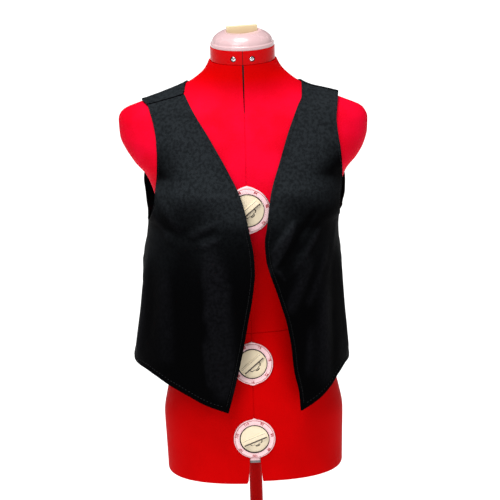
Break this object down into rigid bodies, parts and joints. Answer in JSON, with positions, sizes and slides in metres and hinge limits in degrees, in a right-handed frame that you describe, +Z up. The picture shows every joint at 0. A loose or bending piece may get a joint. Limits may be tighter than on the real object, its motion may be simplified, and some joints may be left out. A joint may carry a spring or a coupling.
{
  "type": "vest on an adjustable dress form",
  "caption": "Sleeveless open-front black waistcoat with a V neck and pointed front hems, on a limbless red adjustable dress form with a round foot.",
  "frame": {"origin": "middle of the foot's underside, on the pole's axis", "axes": "+Z up along the pole, the vest's front faces -Y, the wearer's left is +X"},
  "size_m": [0.4166, 0.4, 1.3688],
  "materials": {
    "black_cloth": "matte",
    "red_form": "matte",
    "red_plastic": "gloss",
    "pink_plastic": "gloss",
    "cream_plastic": "satin",
    "chrome": "polished",
    "red_paint": "satin",
    "dark_metal": "satin"
  },
  "bodies": {
    "stand": {"foot": "dark_metal", "sleeve": "dark_metal", "clamp_collar": "dark_metal"},
    "knob": {"clamp_knob": "dark_metal"},
    "mast": {"pole": "red_paint"},
    "figure": {"vest_front_right": "black_cloth", "vest_front_left": "black_cloth", "vest_back": "black_cloth", "torso": "red_form", "dial_ring_bust": "pink_plastic", "dial_disc_bust": "cream_plastic", "dial_ring_waist": "pink_plastic", "dial_disc_waist": "cream_plastic", "dial_ring_hip": "pink_plastic", "dial_disc_hip": "cream_plastic", "slot_guide": "pink_plastic", "neck_band": "red_plastic", "neck_screw_right": "chrome", "neck_screw_left": "chrome", "neck_cap": "pink_plastic", "neck_grip": "cream_plastic"}
  },
  "joints": [
    {"name": "height_slide", "type": "slide", "parent": "stand", "child": "mast", "axis": [0, 0, 1], "range_m": [0, 0.25]},
    {"name": "figure_swivel", "type": "hinge", "parent": "mast", "child": "figure", "pos_m": [0, 0, 0.72], "axis": [0, 0, 1], "continuous": true},
    {"name": "knob_turn", "type": "hinge", "parent": "stand", "child": "knob", "pos_m": [0, 0.0245, 0.413], "axis": [0, 1, 0], "continuous": true}
  ]
}
